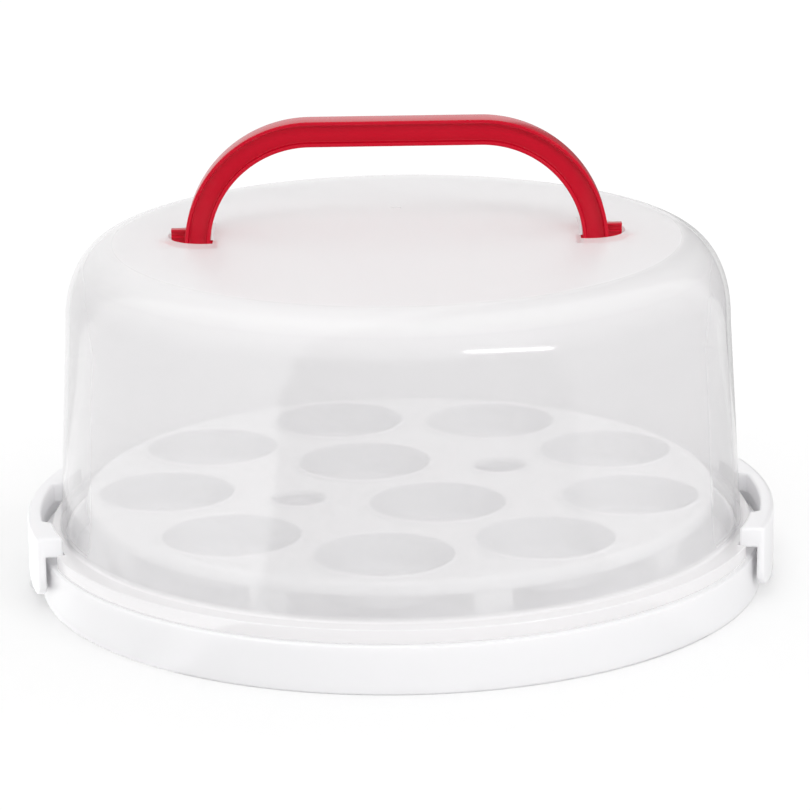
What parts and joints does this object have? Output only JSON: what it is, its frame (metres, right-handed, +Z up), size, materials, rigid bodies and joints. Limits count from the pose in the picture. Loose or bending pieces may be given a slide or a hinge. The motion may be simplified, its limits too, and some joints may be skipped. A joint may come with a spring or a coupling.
{
  "type": "cake and cupcake carrier",
  "caption": "Round cake and cupcake carrier with a translucent lid, red swing handle, lift-out cupcake tray and hinged side latches.",
  "frame": {"origin": "centre of the circle that the base rests on, on the table", "axes": "+X through the right latch and along the handle, +Y to the back, +Z up"},
  "size_m": [0.3348, 0.324, 0.2088],
  "materials": {
    "white_plastic": "satin moulded polypropylene",
    "tray_plastic": "satin moulded polypropylene",
    "clear_lid": "milky translucent moulded polypropylene",
    "red_plastic": "glossy moulded plastic"
  },
  "bodies": {
    "base": {"base_tray": "white_plastic"},
    "tray": {"cupcake_tray": "tray_plastic"},
    "lid": {"dome_lid": "clear_lid"},
    "handle": {"bail_handle": "red_plastic"},
    "latch_left": {"left_latch": "white_plastic"},
    "latch_right": {"right_latch": "white_plastic"}
  },
  "joints": [
    {"name": "lid_lift", "type": "slide", "parent": "base", "child": "lid", "axis": [0, 0, 1], "range_m": [0, 0.18]},
    {"name": "tray_lift", "type": "slide", "parent": "base", "child": "tray", "axis": [0, 0, 1], "range_m": [0, 0.05]},
    {"name": "handle_swing", "type": "hinge", "parent": "lid", "child": "handle", "pos_m": [0, 0, 0.15339], "axis": [1, 0, 0], "range_deg": [-36, 36]},
    {"name": "left_latch_swing", "type": "hinge", "parent": "base", "child": "latch_left", "pos_m": [-0.1625, 0, 0.006], "axis": [0, -1, 0], "range_deg": [0, 90]},
    {"name": "right_latch_swing", "type": "hinge", "parent": "base", "child": "latch_right", "pos_m": [0.1625, 0, 0.006], "axis": [0, 1, 0], "range_deg": [0, 90]}
  ]
}
